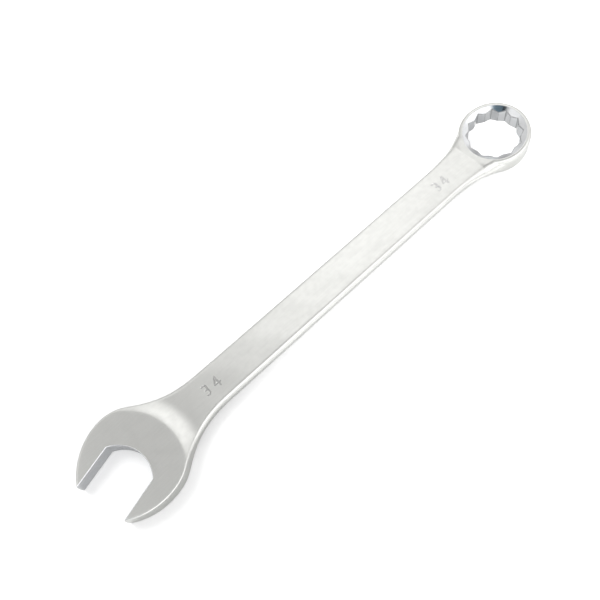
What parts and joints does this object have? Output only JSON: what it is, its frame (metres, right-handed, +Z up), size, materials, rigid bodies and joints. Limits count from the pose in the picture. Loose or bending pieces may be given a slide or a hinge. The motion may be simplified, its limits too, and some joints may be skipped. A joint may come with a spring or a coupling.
{
  "type": "combination wrench",
  "caption": "Forged combination wrench with an angled open jaw at one end and a tilted twelve-point ring at the other.",
  "frame": {"origin": "centre of the nut held in the open jaw, at half the head's thickness", "axes": "+X runs along the shank from the open jaw to the ring end, +Z is up through the head's ground faces, and the jaw opens towards -X turned 15 degrees towards -Y"},
  "size_m": [0.3866, 0.0629, 0.0252],
  "materials": {
    "satin_chrome": "satin"
  },
  "bodies": {
    "root": {"combination_wrench": "satin_chrome"}
  },
  "joints": []
}
